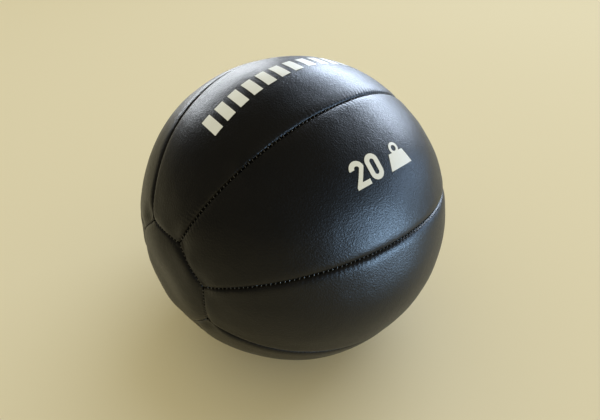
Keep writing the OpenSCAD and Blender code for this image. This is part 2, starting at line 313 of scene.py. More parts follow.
class Cap(Panel):
    kind, orders = "end_cap", (5, 5)
    coarse = np.linspace(0, 1, 11)[1:], circle(48)
    rays = staticmethod(cap_rays)
    plain_radius = staticmethod(cap_radius)

    def __init__(self, end):
        self.side = ENDS[end]
        self.turn = turning((end - 0.5) * pi, "Y")
        self.seed, self.relief_seed = 500 + 10 * end, 600 + end
        self.seams = [0] * len(SIDES)

    def place_of(self, rays):
        """Two shares from the middle."""
        return rays[:, 0] / sin(CAP_CORNER), rays[:, 1] / sin(CAP_CORNER)

    def distances(self, rays):
        x, y, z = rays.T
        found = []
        for k in range(len(SIDES)):
            out = x * cos(k * STEP) + y * sin(k * STEP)
            found.append(SEAM_R * (z * sin(CAP_SIDE) - out * cos(CAP_SIDE)))
        return found

    def pulls(self, rays):
        x, y, _ = rays.T
        sideways = [y * cos(k * STEP) - x * sin(k * STEP) for k in range(len(SIDES))]
        return [pull_at(np.arcsin(np.clip(s, -1, 1)), CAP_STITCHES) for s in sideways]

    @staticmethod
    def mesh(rows, cols):
        middle, count = len(rows) * len(cols), len(cols)
        faces = grid_faces(len(rows), count, wrap=True)
        faces += [[middle, i, (i + 1) % count] for i in range(count)]
        return faces, np.arange(middle - count, middle)


# ---- cloth simulation ----

SIM_FRAMES = 20
START_SUNK = 2.2 * MM         # a panel starts this far inside its form, because it swells
SWELL = 1.9 * MM              # how far the fullest part of a panel moves out
SUNK_REACH = 22 * MM          # distance from a seam over which the start sinks
LEAST_LIFT, MOST_LIFT = -1.0 * MM, 3.0 * MM
CLOTH = {
    "quality": 6, "mass": 0.15, "air_damping": 4, "shrink_min": -0.003,
    "tension_stiffness": 40, "compression_stiffness": 40, "shear_stiffness": 25, "bending_stiffness": 2.0,
    "tension_damping": 10, "compression_damping": 10, "shear_damping": 10, "bending_damping": 1,
    "use_pressure": True, "uniform_pressure_force": 3, "vertex_group_mass": "seam",
}


def placed(name, data):
    thing = bpy.data.objects.new(name, data)
    bpy.context.scene.collection.objects.link(thing)
    return thing


def new_object(name, points, faces):
    mesh = bpy.data.meshes.new(name)
    mesh.from_pydata(np.asarray(points).tolist(), [], [list(f) for f in faces])
    mesh.update()
    return placed(name, mesh)


def cloth(name, points, faces, pinned):
    made = new_object(name, points, faces)
    group = made.vertex_groups.new(name="seam")
    group.add([int(i) for i in pinned], 1.0, "REPLACE")
    settings = made.modifiers.new("Cloth", "CLOTH").settings
    for setting, value in CLOTH.items():
        setattr(settings, setting, value)
    settings.effector_weights.gravity = 0
    return made


def swell(panels):
    """Blows up every panel between its pinned seams, and keeps the swelling as a sum of smooth shapes."""
    starts, cloths = [], []
    for number, panel in enumerate(panels):
        rays = panel.rays(*panel.coarse)
        faces, border = panel.mesh(*panel.coarse)
        gap = np.linalg.norm(rays[:, None] - rays[border][None], axis=2).min(axis=1) * RADIUS
        sunk = START_SUNK + 0.2 * MM * waves(rays * RADIUS, 70 * MM, 100 + number)
        sunk *= 1 - np.exp(-gap / SUNK_REACH)
        if panel.kind == "end_cap":
            sunk[-1] = START_SUNK
        starts.append(panel.plain_radius(rays) - sunk)
        cloths.append(cloth("sim_" + panel.side, rays * starts[-1][:, None], faces, border))
    if cloths:
        for moment in range(1, SIM_FRAMES + 1):
            bpy.context.scene.frame_set(moment)
    for number, (panel, start) in enumerate(zip(panels, starts)):
        if cloths:
            done = cloths[number].evaluated_get(bpy.context.evaluated_depsgraph_get()).data
            place = np.zeros(len(start) * 3)
            done.vertices.foreach_get("co", place)
            out = np.linalg.norm(place.reshape(-1, 3), axis=1) - start
        else:
            out = np.full(len(start), SWELL)
            out[panel.mesh(*panel.coarse)[1]] = 0
        lift = np.clip(out * SWELL / max(np.percentile(out, 90), 0.1 * MM), LEAST_LIFT, MOST_LIFT)
        rays = panel.rays(*panel.coarse)
        moved = start + lift - panel.plain_radius(rays)
        panel.lift = np.linalg.lstsq(panel.shapes(rays), moved, rcond=1e-6)[0]
    for made in cloths:
        bpy.data.objects.remove(made)
    bpy.context.scene.frame_set(1)


# ---- closed shells ----

ROLL_STEPS = 9                # points around the quarter circle where leather rolls into a seam
MIDDLE_SPACING = 3.4 * MM     # distance between points in the middle of a panel
FLAT_BEND = 0.6 * MM          # how softly the bottom bends into its flat patch


def graded(length):
    """Distances from a seam to the middle of a panel: close together in the roll, then wider and wider."""
    reach = ROLL_REACH * (1 + PULL_WIDENS)
    tilt = np.linspace(pi / 2, 0, ROLL_STEPS)
    places = list(reach * (1 - np.sin(tilt)))
    spacing = places[-1] - places[-2]
    while places[-1] + 1.5 * spacing < length:
        places.append(places[-1] + spacing)
        spacing = min(spacing * 1.22, MIDDLE_SPACING)
    places.append(length)
    return np.array(places)


def both_ways(places):
    """Shares from -1 to 1, from distances that run from an edge to the middle."""
    half = 1 - places / places[-1]
    return np.concatenate([-half, half[-2::-1]])


def seam_rows():
    """Seam angles of a gore's rows: in step with the stitches, and closer together at the two ends."""
    step = STITCH_STEP / ROWS_PER_STITCH
    count = int((SEAM_HALF - 3 * MM / SEAM_R) / step)
    even = np.arange(-count, count + 1) * step
    end = graded(SEAM_HALF * SEAM_R - even[-1] * SEAM_R) / SEAM_R
    end = SEAM_HALF - end[:-1]
    return np.concatenate([-end, even, end[::-1]])


def band_faces(first, second):
    """Ring of faces that joins two loops of points."""
    return np.stack([np.roll(first, -1), first, second, np.roll(second, -1)], -1)


def shell(outer, inner, faces, border, thickness):
    """Closed sheet: an outer face, an inner face, and edges that are turned in."""
    count = len(outer)
    fresh = 2 * count
    points, loops = [outer, inner], [border]
    faces = faces + [[i + count for i in face] for face in flip(faces)]
    starts = [(outer[border], FLANGE_DEPTH - ROLL_DEPTH), (inner[border], FLANGE_DEPTH - thickness)]
    shares = (0.2, 0.5, 1.0), (1.0, 0.5)
    for (start, drop), steps in zip(starts, shares):
        away = start / np.linalg.norm(start, axis=1)[:, None]
        for share in steps:
            points.append(start - away * drop * share)
            loops.append(np.arange(fresh, fresh + len(border)))
            fresh += len(border)
    loops.append(border + count)
    for first, second in zip(loops, loops[1:]):
        faces += band_faces(first, second).tolist()
    return np.vstack(points), faces


def settle(panel, points, depth):
    """Presses a layer at this depth flat over the floor, with a soft bend at the edge of the flat patch."""
    upright = points @ panel.turn.T
    above = upright[:, 2] - FLOOR_Z - depth + CENTRE.z
    upright[:, 2] = FLOOR_Z - CENTRE.z + depth + 0.5 * (above + np.sqrt(above**2 + FLAT_BEND**2))
    return upright @ panel.turn


def sheet(panel, top, thickness, rows, cols, face=False):
    """One layer of a panel, top below the leather's face."""
    inset = SLIT_HALF + top
    outside, inside = (panel.rays(rows, cols, inset + more) for more in (0, thickness))
    radius = panel.face_radius(outside) if face else panel.body_radius(outside) - top
    outer = settle(panel, outside * radius[:, None], top)
    inner = settle(panel, inside * (panel.body_radius(inside) - top - thickness)[:, None], top + thickness)
    return shell(outer, inner, *panel.mesh(rows, cols), thickness)


PIECES = []
WIDER = 1.007                 # the ball's width over its height


def piece(name, form, material, node, turn=np.eye(3)):
    """A finished piece of the ball that stands for a CAD node; its form is given about the ball's centre."""
    points, faces = form
    thing = new_object(name, points @ turn.T + MIDDLE, faces)
    thing.data.shade_smooth()
    thing.data.materials.append(material)
    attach(thing, "root")
    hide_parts(node)
    PIECES.append(thing)
    return thing


def sag():
    """The heavy filling makes the resting ball a little wider than it is tall."""
    for thing in PIECES:
        thing.data.transform(Matrix.Diagonal((WIDER, WIDER, 1, 1)))


# ---- thread and cord ----

THREAD_R = 0.45 * MM
THREAD_SIDES = 10
RUNG_DEPTH = 0.85 * MM        # how far below the leather's face a stitch shows in its seam
RUNG_HALF = 1.9 * MM          # half of the thread's length from the leather on one side to the other
RUNG_SAG = 1.4 * MM           # how much deeper the thread enters the leather at its two ends
RUNG_SLANT = 0.45 * MM        # how far a machine stitch runs along the seam
HAND_SLANT = 1.6 * MM
RUN_OUT = 3.45 * MM           # distance of the hidden thread runs from the middle of the seam


def tube(path, radius, sides, lobes=0, lobe_depth=0.0, twist=0.0):
    """Closed bar along a path, with the swelling strands of a laid thread when lobes are given."""
    path = np.asarray(path)
    along = np.gradient(path, axis=0)
    along /= np.linalg.norm(along, axis=1)[:, None]
    sideways = np.cross(along[0], [0.3, 0.5, 0.8])
    angles = circle(sides)
    travelled = np.concatenate([[0], np.cumsum(np.linalg.norm(np.diff(path, axis=0), axis=1))])
    rings = []
    for centre, ahead, far in zip(path, along, travelled):
        sideways = sideways - ahead * (sideways @ ahead)
        sideways /= np.linalg.norm(sideways)
        other = np.cross(ahead, sideways)
        reach = radius * (1 - lobe_depth + lobe_depth * np.abs(np.cos(lobes / 2 * (angles - twist * far))))
        offset = np.cos(angles)[:, None] * sideways + np.sin(angles)[:, None] * other
        rings.append(centre + offset * (reach[:, None] if lobes else radius))
    count = len(path)
    faces = []
    for i in range(count - 1):
        first, second = np.arange(sides) + i * sides, np.arange(sides) + (i + 1) * sides
        faces += band_faces(second, first).tolist()
    faces += [list(range(sides))[::-1], list(range((count - 1) * sides, count * sides))]
    return np.vstack(rings), faces


def flip(faces):
    return [face[::-1] for face in faces]


def join(parts):
    points, faces, start = [], [], 0
    for part_points, part_faces in parts:
        points.append(part_points)
        faces += [tuple(i + start for i in face) for face in part_faces]
        start += len(part_points)
    return np.vstack(points), faces


def seam_point(angle, aside, depth, face_radius):
    """A place in a seam's own frame, where the seam's plane is XZ and its middle is along +Z."""
    radius = face_radius - depth
    return [radius * sin(angle), aside, radius * cos(angle)]


def rung(angle, face_radius, slant, jitter):
    """The part of a stitch that shows: thread that comes out of one side of the seam and enters the other."""
    path = []
    for t in np.linspace(-1, 1, 7):
        shift = (slant * t + jitter) / SEAM_R
        depth = RUNG_DEPTH + RUNG_SAG * t * t
        path.append(seam_point(angle + shift, RUNG_HALF * t, depth, face_radius))
    return tube(path, THREAD_R, THREAD_SIDES, lobes=3, lobe_depth=0.16, twist=2.2 / MM)


def thread_run(angles, side, radius_at):
    """The hidden thread along one side of a seam, which dips into every stitch hole."""
    places = np.linspace(angles[0], angles[-1], 2 * len(angles) - 1)
    path = []
    for number, angle in enumerate(places):
        aside = RUN_OUT - (0.25 * MM if number % 2 == 0 else 0)
        path.append(seam_point(angle, side * aside, STITCH_LINE, radius_at(angle)))
    return tube(path, THREAD_R, 6)


def stitching(angles, radius_at, slant, seed):
    rng = np.random.default_rng(seed)
    parts = [rung(a, radius_at(a), slant, rng.normal(0, 0.12 * MM)) for a in angles]
    return parts + [thread_run(angles, side, radius_at) for side in (-1, 1)]


def seam_face_radius(angle):
    ray = np.array([sin(angle), cos(angle) * sin(HALF), cos(angle) * cos(HALF)])
    return float(gore_radius(ray[None])[0])


def seam_threads(material):
    for seam in range(1, len(SIDES) + 1):
        machine, hand = seam_stitches(seam)
        groups = [machine[machine < 0], machine[machine > 0]] if len(hand) else [machine]
        parts = []
        for number, angles in enumerate(groups):
            parts += stitching(angles, seam_face_radius, RUNG_SLANT, 700 + 10 * seam + number)
        name, turn = f"seam_thread_{seam}", to_side(seam - 0.5)
        piece(name + "_sewn", join(parts), material, name, turn)
        if len(hand):
            form = join(stitching(hand, seam_face_radius, HAND_SLANT, 790))
            piece("closing_thread_sewn", form, material, "closing_thread", turn)


def cap_threads(caps, material):
    for end, cap in enumerate(caps):
        parts = []
        for k in range(len(SIDES)):
            turn = turning(k * STEP, "Z") @ turning(CAP_SIDE, "X")

            def radius_at(angle):
                return float(cap_radius(turn @ np.array([sin(angle), 0, cos(angle)])))

            sewn = stitching(CAP_STITCHES, radius_at, RUNG_SLANT, 800 + 10 * end + k)
            parts += [(points @ turn.T, faces) for points, faces in sewn]
        name = f"end_cap_thread_{cap.side}"
        piece(name + "_sewn", join(parts), material, name, cap.turn)


# ---- prints ----

PRINT_H = 23.5 * MM
FILM_T = 0.2 * MM
FILM_SUNK = 0.04 * MM         # the film's underside lies this far over the leather
WEIGHT_LOW = -9 * MM          # height of the weight mark's lower edge over its gore's middle line
WEIGHT_MIDDLE = -12 * MM
FIGURE_W = 14 * MM
STROKE_W = 4.6 * MM
FIGURE_SPACE = 2.6 * MM
SIGN_W = 30 * MM
BAND_LOW = -12.5 * MM
BAR_COUNT = 13
BAND_LEFT, BAND_RIGHT = radians(-38), radians(34)
BAR_SHARE = 0.62
BAR_SLANT = 3 * MM
ARC_POINTS = 28
FILM_MESH = 2.2 * MM          # distance between the film's points


def arc(centre, radius, start, end):
    """Points of an arc between two angles in degrees."""
    angles = np.radians(np.linspace(start, end, ARC_POINTS))
    return [(centre[0] + radius * cos(a), centre[1] + radius * sin(a)) for a in angles]


def figure_two(w, h):
    """Outline of a 2: a bowl, a straight sloping stroke and a flat foot."""
    r, s = w / 2, STROKE_W
    knee = h - r
    slope = (w - s) / (knee - s / 2)
    outline = [(0, 0), (w, 0), (w, s), (s + slope * s / 2, s)]
    outline += arc((r, knee), r, 0, 180) + arc((r, knee), r - s, 180, 0) + [(0, s / 2)]
    return [outline]


def figure_zero(w, h):
    r = w / 2
    return [arc((r, h - r), r - inset, 0, 180) + arc((r, r), r - inset, 180, 360) for inset in (0, STROKE_W)]


def weight_sign(w, h):
    """Outline of a plain weight: a tapered block with a round eye on top."""
    eye = 0.24 * h
    top = h - 1.6 * eye
    shoulder = 0.18 * w
    middle = (w / 2, h - eye)
    meet = degrees(asin((top - middle[1]) / eye))
    outline = [(0, 0), (w, 0), (w - shoulder, top), *arc(middle, eye, meet, 180 - meet), (shoulder, top)]
    return [outline, arc(middle, eye / 2, 0, 350)]


def band_bar(w):
    """Outline of one slanted bar of the band."""
    lean, low, high = BAR_SLANT / 2, BAND_LOW, BAND_LOW + PRINT_H
    return [[(-w / 2 - lean, low), (w / 2 - lean, low), (w / 2 + lean, high), (-w / 2 + lean, high)]]


def inside(points, loops):
    """Which points lie inside the outlines, where an outline in another one is a hole."""
    odd = np.zeros(len(points), bool)
    for loop in loops:
        loop = np.array(loop)
        for (x1, y1), (x2, y2) in zip(loop, np.roll(loop, -1, axis=0)):
            if y1 != y2:
                between = (points[:, 1] < y1) != (points[:, 1] < y2)
                reach = x1 + (points[:, 1] - y1) / (y2 - y1) * (x2 - x1)
                odd ^= between & (points[:, 0] < reach)
    return odd


def dense_loop(loop):
    points = []
    for start, end in zip(loop, loop[1:] + loop[:1]):
        start, end = np.array(start), np.array(end)
        length = np.linalg.norm(end - start)
        if length > 1e-6:
            steps = max(1, int(length / FILM_MESH))
            points += [start + (end - start) * i / steps for i in range(steps)]
    return np.array(points)


def triangles(loops):
    """Flat triangles that fill the outlines evenly."""
    points, edges = [], []
    for loop in loops:
        dense = dense_loop(loop)
        start, count = sum(len(p) for p in points), len(dense)
        edges += [(start + i, start + (i + 1) % count) for i in range(count)]
        points.append(dense)
    border = np.vstack(points)
    low, high = border.min(axis=0), border.max(axis=0)
    across, up = np.meshgrid(np.arange(low[0], high[0], FILM_MESH), np.arange(low[1], high[1], FILM_MESH))
    fill = np.stack([across.ravel(), up.ravel()], -1) + 0.37 * FILM_MESH
    gap = np.linalg.norm(fill[:, None] - border[None], axis=2).min(axis=1)
    fill = fill[inside(fill, loops) & (gap > 0.5 * FILM_MESH)]
    flat = [Vector(p) for p in np.vstack([border, fill])]
    places, _, faces, _, _, _ = delaunay_2d_cdt(flat, edges, [], 0, 1e-7)
    places, faces = np.array([tuple(p) for p in places]), np.array(faces)
    return places, faces[inside(places[faces].mean(axis=1), loops)].tolist()


def over_gore(gore, places, tilt, lift):
    """Stands flat points upright over a gore's face, in a frame tilted about the gore's Y axis."""
    turn = turning(tilt, "Y")
    high = np.full(len(places), RADIUS)
    for _ in range(5):
        upright = np.column_stack([places, high])
        rays = upright / np.linalg.norm(upright, axis=1)[:, None] @ turn.T
        radius = gore.face_radius(rays) + lift
        high = np.sqrt(radius**2 - (places**2).sum(axis=1))
    return np.column_stack([places, high]) @ turn.T


def film(gore, loops, tilt=0.0):
    """Closed thin film on a gore's face."""
    places, faces = triangles(loops)
    count = len(places)
    top = over_gore(gore, places, tilt, FILM_SUNK + FILM_T)
    bottom = over_gore(gore, places, tilt, FILM_SUNK)
    edges = {edge: None for face in faces for edge in zip(face, face[1:] + face[:1])}
    rim = [(a, b) for a, b in edges if (b, a) not in edges]
    below = [[i + count for i in face] for face in flip(faces)]
    return np.vstack([top, bottom]), faces + below + [(b, a, a + count, b + count) for a, b in rim]


def prints(gores, material):
    total = 2 * FIGURE_W + 4 * FIGURE_SPACE + SIGN_W
    marks = [
        (figure_two(FIGURE_W, PRINT_H), 0),
        (figure_zero(FIGURE_W, PRINT_H), FIGURE_W + FIGURE_SPACE),
        (weight_sign(SIGN_W, PRINT_H), total - SIGN_W),
    ]
    films = []
    for loops, aside in marks:
        aside += WEIGHT_MIDDLE - total / 2
        films.append(film(gores[3], [[(x + aside, y + WEIGHT_LOW) for x, y in loop] for loop in loops]))
    weight = piece("weight_mark", join(films), material, "weight_print", gores[3].turn)
    step = (BAND_RIGHT - BAND_LEFT) / BAR_COUNT
    width = RADIUS * step * BAR_SHARE
    films = [film(gores[2], band_bar(width), BAND_LEFT + (i + 0.5) * step) for i in range(BAR_COUNT)]
    band = piece("band_mark", join(films), material, "band_print", gores[2].turn)
    for mark in (weight, band):
        mark.data.set_sharp_from_angle(angle=radians(35))


# ---- materials ----

class Look:
    """A procedural material, put together node by node. Textures are laid in the object's own metres."""

    def __init__(self, name):
        self.material = bpy.data.materials.new(name)
        self.material.use_nodes = True
        self.tree = self.material.node_tree
        self.shader = self.tree.nodes["Principled BSDF"]
        self.place = self.node("ShaderNodeTexCoord").outputs["Object"]

    def node(self, kind, settings=None, **inputs):
        made = self.tree.nodes.new(kind)
        for name, value in (settings or {}).items():
            setattr(made, name, value)
        for name, value in inputs.items():
            self.give(made.inputs[name.replace("_", " ")], value)
        return made

    def give(self, socket, value):
        if isinstance(value, bpy.types.NodeSocket):
            self.tree.links.new(value, socket)
        else:
            socket.default_value = value

    def noise(self, wavelength, detail, place=None, roughness=0.5):
        made = self.node("ShaderNodeTexNoise", Vector=place or self.place, Scale=1 / wavelength,
                         Detail=detail, Roughness=roughness)
        return made.outputs["Fac"]

    def cells(self, size):
        made = self.node("ShaderNodeTexVoronoi", {"feature": "SMOOTH_F1"}, Vector=self.place, Scale=1 / size)
        return made.outputs["Distance"]

    def remap(self, value, low, high, to_low=0.0, to_high=1.0):
        limits = {"From_Min": low, "From_Max": high, "To_Min": to_low, "To_Max": to_high}
        return self.node("ShaderNodeMapRange", Value=value, **limits).outputs["Result"]

    def math(self, operation, first, second):
        made = self.node("ShaderNodeMath", {"operation": operation})
        for socket, value in zip(made.inputs, (first, second)):
            self.give(socket, value)
        return made.outputs["Value"]

    def blend(self, share, first, second):
        made = self.node("ShaderNodeMix", {"data_type": "RGBA"}, Factor=share)
        for socket, value in zip(made.inputs[6:8], (first, second)):
            self.give(socket, value)
        return made.outputs[2]

    def bump(self, height, distance, **under):
        return self.node("ShaderNodeBump", Height=height, Distance=distance, **under).outputs["Normal"]

    def finish(self, colour, roughness, normal, **others):
        values = {"Base Color": colour, "Roughness": roughness, "Normal": normal, **others}
        for name, value in values.items():
            self.give(self.shader.inputs[name.replace("_", " ")], value)
        return self.material


def grey(value, warmth=0.0):
    """A near-neutral colour: warmth adds red and takes away blue."""
    return (value * (1 + warmth), value, value * (1 - warmth), 1)


def leather_look():
    look = Look("black_leather")
    edge = look.node("ShaderNodeAttribute", {"attribute_name": "edge"}).outputs["Fac"]
    cloud = look.noise(45 * MM, 3)
    mottle = look.noise(2.0 * MM, 3)
    pebble = look.cells(1.3 * MM)
    pores = look.noise(0.8 * MM, 2)
    scuff = look.remap(look.noise(9 * MM, 5, roughness=0.7), 0.62, 0.8)
    colour = look.blend(cloud, grey(0.005, 0.05), grey(0.009, 0.08))
    colour = look.blend(look.math("MULTIPLY", scuff, 0.35), colour, grey(0.02, 0.05))
    dust = look.math("MULTIPLY", edge, look.remap(look.noise(12 * MM, 4), 0.45, 0.75, 0.0, 0.3))
    colour = look.blend(dust, colour, grey(0.03, 0.12))
    roughness = look.remap(mottle, 0.3, 0.7, 0.36, 0.45)
    roughness = look.math("ADD", roughness, look.math("MULTIPLY", scuff, 0.08))
    roughness = look.math("SUBTRACT", roughness, look.math("MULTIPLY", edge, 0.04))
    normal = look.bump(mottle, 0.10 * MM)
    normal = look.bump(pebble, 0.18 * MM, Normal=normal)
    normal = look.bump(pores, 0.06 * MM, Normal=normal)
    return look.finish(colour, roughness, normal, Specular_IOR_Level=0.2)


def thread_look():
    look = Look("black_thread")
    strands = look.noise(0.5 * MM, 2)
    colour = look.blend(strands, grey(0.03), grey(0.075, 0.02))
    return look.finish(colour, look.remap(strands, 0.3, 0.7, 0.3, 0.45), look.bump(strands, 0.05 * MM))


def print_look():
    look = Look("off_white_print")
    wear = look.remap(look.noise(3 * MM, 5, roughness=0.65), 0.64, 0.78)
    cloud = look.noise(25 * MM, 2)
    colour = look.blend(cloud, (0.74, 0.78, 0.86, 1), (0.79, 0.83, 0.91, 1))
    colour = look.blend(look.math("MULTIPLY", wear, 0.35), colour, grey(0.3))
    normal = look.bump(look.cells(1.25 * MM), 0.04 * MM)
    return look.finish(colour, look.remap(cloud, 0.3, 0.7, 0.42, 0.52), normal)


BANDS_PER_PITCH = 6.2         # makes one band of the wave texture span two threads of a plain weave


def cloth_look(name, light, dark, pitch):
    look = Look(name)
    threads = [look.node("ShaderNodeTexWave", {"bands_direction": way}, Vector=look.place,
                         Scale=1 / (BANDS_PER_PITCH * pitch)).outputs["Fac"] for way in "XZ"]
    weave = look.math("MAXIMUM", *threads)
    fibres = look.noise(0.6 * MM, 4)
    cloud = look.noise(30 * MM, 3)
    colour = look.blend(weave, dark, light)
    colour = look.blend(look.remap(cloud, 0.3, 0.7, 0.0, 0.35), colour, dark)
    normal = look.bump(fibres, 0.1 * MM, Normal=look.bump(weave, 0.3 * MM))
    return look.finish(colour, 0.9, normal, Sheen_Weight=0.3)


def fibre_look():
    look = Look("grey_fibre")
    light, dark = (0.36, 0.35, 0.33, 1), (0.17, 0.17, 0.18, 1)
    combed = look.node("ShaderNodeMapping", Vector=look.place, Scale=(1, 0.35, 0.6)).outputs["Vector"]
    tangle = look.noise(2.5 * MM, 6, place=combed, roughness=0.7)
    fleck = look.remap(look.noise(6 * MM, 3), 0.5, 0.62)
    colour = look.blend(tangle, dark, light)
    colour = look.blend(look.math("MULTIPLY", fleck, 0.4), colour, dark)
    return look.finish(colour, 0.95, look.bump(tangle, 1.2 * MM), Sheen_Weight=0.4)


def cord_look():
    look = Look("cotton_cord")
    fibres = look.noise(0.5 * MM, 4)
    colour = look.blend(fibres, (0.55, 0.48, 0.33, 1), (0.75, 0.68, 0.5, 1))
    return look.finish(colour, 0.85, look.bump(fibres, 0.15 * MM), Sheen_Weight=0.2)


def sand_look():
    look = Look("dry_sand")
    grains = look.node("ShaderNodeTexVoronoi", Vector=look.place, Scale=1 / (0.9 * MM))
    shade = look.remap(grains.outputs["Color"], 0, 1)
    colour = look.blend(shade, (0.42, 0.31, 0.17, 1), (0.78, 0.66, 0.45, 1))
    return look.finish(colour, 0.7, look.bump(grains.outputs["Distance"], 0.5 * MM))


def floor_look():
    look = Look("pale_floor")
    cloud = look.noise(300 * MM, 3)
    colour = look.blend(cloud, (0.80, 0.75, 0.62, 1), (0.82, 0.77, 0.66, 1))
    weave = look.noise(3 * MM, 3)
    return look.finish(colour, 0.8, look.bump(weave, 0.3 * MM), Specular_IOR_Level=0.0)


# ---- the ball ----

LINING_COLS = 96              # points around an end cap's backing
LAYER_GAP = 0.1 * MM
EDGE_REACH = 5 * MM           # width of the rubbed leather beside a seam


def leather_cover(panels, material):
    side_length = 2 * SEAM_R * CAP_SIDE_HALF
    columns = len(SIDES) * 2 * int(side_length / STITCH_PITCH * ROWS_PER_STITCH / 2)
    share = (1 - graded(SEAM_R * CAP_SIDE) / (SEAM_R * CAP_SIDE))[::-1][1:]
    grids = {
        "gore": (seam_rows(), both_ways(graded(SEAM_R * HALF))),
        "end_cap": (share, circle(columns)),
    }
    for panel in panels:
        form = sheet(panel, 0, LEATHER_T, *grids[panel.kind], face=True)
        node = f"{panel.kind}_{panel.side}"
        mark_edges(piece("leather_" + node, form, material, node, panel.turn), panel)


def mark_edges(thing, panel):
    """Stores how near each point is to a seam, for the leather's look."""
    points = np.zeros(len(thing.data.vertices) * 3)
    thing.data.vertices.foreach_get("co", points)
    local = (points.reshape(-1, 3) - MIDDLE) @ panel.turn
    nearest = np.minimum.reduce(panel.distances(local / np.linalg.norm(local, axis=1)[:, None]))
    edge = np.exp(-np.clip(nearest, 0, None) / EDGE_REACH)
    thing.data.attributes.new("edge", "FLOAT", "POINT").data.foreach_set("value", edge.astype(np.float32))


def linings(panels, material):
    grids = {"gore": Gore.coarse, "end_cap": (Cap.coarse[0], circle(LINING_COLS))}
    for panel in panels:
        form = sheet(panel, LEATHER_T + LAYER_GAP, LINING_T, *grids[panel.kind])
        name = f"cotton_backing_{'cap_' if panel.kind == 'end_cap' else ''}{panel.side}"
        piece(name, form, material, f"{panel.kind}_lining_{panel.side}", panel.turn)


# ---- filling ----

SACK_T = 1.2 * MM
SACK_LOW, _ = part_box("ballast_sack")
SACK_R = CENTRE.z - SACK_LOW.z
NECK_R = 11 * MM
TIE_LOW, TIE_HIGH = (corner.z - CENTRE.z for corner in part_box("sack_tie_cord"))
FRILL_Z = TIE_HIGH + NECK_R
FRILL_R = 1.9 * NECK_R
PLEATS = 22
CORD_D = 3 * MM
BACKING_DEPTH = LEATHER_T + LINING_T + 0.3 * MM
SEAM_ROOM = 4.4 * MM          # half of the width that the turned-in edges and their thread take up
CHANNEL_SLOPE = 3 * MM        # width of the sloping side of a channel for a seam
CHANNEL_FLOOR = FLANGE_DEPTH + 1.5 * MM
TUFT_DEPTH = 0.25 * MM
HALF_GAP = 0.1 * MM


def dome(rings, columns, low):
    """Unit vectors of half a ball about Z, with the pole first."""
    tilt = np.repeat(np.linspace(0, pi / 2, rings + 1)[1:], columns)
    around = np.tile(circle(columns), rings)
    up = -1 if low else 1
    rays = stacked(np.sin(tilt) * np.cos(around), np.sin(tilt) * np.sin(around), up * np.cos(tilt))
    return np.vstack([[0, 0, up], rays])


def dome_faces(rings, columns):
    faces = [(0, i + 1, (i + 1) % columns + 1) for i in range(columns)]
    return faces + [[i + 1 for i in face] for face in grid_faces(rings, columns, wrap=True)]


def room_inside(rays, panels):
    """Radius of the space inside the cotton backing, with channels for the turned-in seams."""
    best = np.full(len(rays), -1.0 * MM)
    radius = np.zeros(len(rays))
    for panel in panels:
        local = rays @ panel.turn
        clear = np.minimum.reduce(panel.distances(local))
        here = clear > best
        radius[here] = panel.body_radius(local[here])
        best[here] = clear[here]
    share = np.clip((best - SEAM_ROOM) / CHANNEL_SLOPE, 0, 1)
    share = share * share * (3 - 2 * share)
    channel = SEAM_R - CHANNEL_FLOOR
    return channel + (radius - BACKING_DEPTH - channel) * share


def stuffing(panels, material):
    """Two packed halves of fibre around the sack, each a closed thick bowl."""
    rings, columns = 100, 360
    for name in ("upper", "lower"):
        low = name == "lower"
        rays = dome(rings, columns, low)
        tilt = np.arccos(np.abs(rays[:, 2]))
        tufts = waves(rays * RADIUS, 14 * MM, 901) + 0.6 * waves(rays * RADIUS, 6 * MM, 902)
        outer = rays * (room_inside(rays, panels) - TUFT_DEPTH * (tufts + 3))[:, None]
        outer[:, 2] = np.maximum(outer[:, 2], FLOOR_Z - CENTRE.z + BACKING_DEPTH + 0.4 * MM)
        hollow = np.full(len(rays), SACK_R + 0.6 * MM)
        if not low:
            with_neck = np.minimum((FRILL_Z + MM) / np.cos(np.minimum(tilt, 1.0)),
                                   (FRILL_R + 2 * MM) / np.maximum(np.sin(tilt), 0.01))
            hollow = np.maximum(hollow, with_neck)
        inner = rays * hollow[:, None]
        away = HALF_GAP * (-1 if low else 1)
        outer[-columns:, 2] = away
        inner[-columns:, 2] = away
        count = len(rays)
        skin = dome_faces(rings, columns)
        skin += [[i + count for i in face] for face in flip(skin)]
        last = np.arange(count - columns, count)
        skin += band_faces(last, last + count).tolist()
        form = np.vstack([outer, inner]), flip(skin) if low else skin
        piece(f"fibre_filling_{name}", form, material, f"stuffing_{name}")


def revolve(profile, columns, ripple):
    """Closed form of revolution about Z: its profile starts and ends on the axis; ripple gives pleats."""
    profile = np.array(profile)
    around = circle(columns)
    points = [[0, 0, profile[0, 1]]]
    for r, z in profile[1:-1]:
        reach = r * (1 + ripple(z) * np.cos(PLEATS * around)) + 0.3 * ripple(z) * r * np.cos(7 * around)
        ring = stacked(reach * np.cos(around), reach * np.sin(around), np.full(columns, z))
        points += ring.tolist()
    points.append([0, 0, profile[-1, 1]])
    rings = len(profile) - 2
    faces = [(0, (i + 1) % columns + 1, i + 1) for i in range(columns)]
    for k in range(rings - 1):
        ring = np.arange(columns) + 1 + k * columns
        faces += band_faces(ring + columns, ring).tolist()
    last, top = 1 + (rings - 1) * columns, len(points) - 1
    faces += [(last + i, last + (i + 1) % columns, top) for i in range(columns)]
    return np.array(points), faces


def curve(corners, steps):
    """Smooth curve through corner points."""
    corners, last = np.array(corners), len(corners) - 1
    at = np.linspace(0, last, steps)
    low = np.clip(at.astype(int), 0, last - 1)
    t = (at - low)[:, None]
    before, start, end, after = (corners[np.clip(low + k, 0, last)] for k in (-1, 0, 1, 2))
    bend = (2 * before - 5 * start + 4 * end - after) * t**2 + (3 * start - before - 3 * end + after) * t**3
    return (start + 0.5 * ((end - before) * t + bend)).tolist()


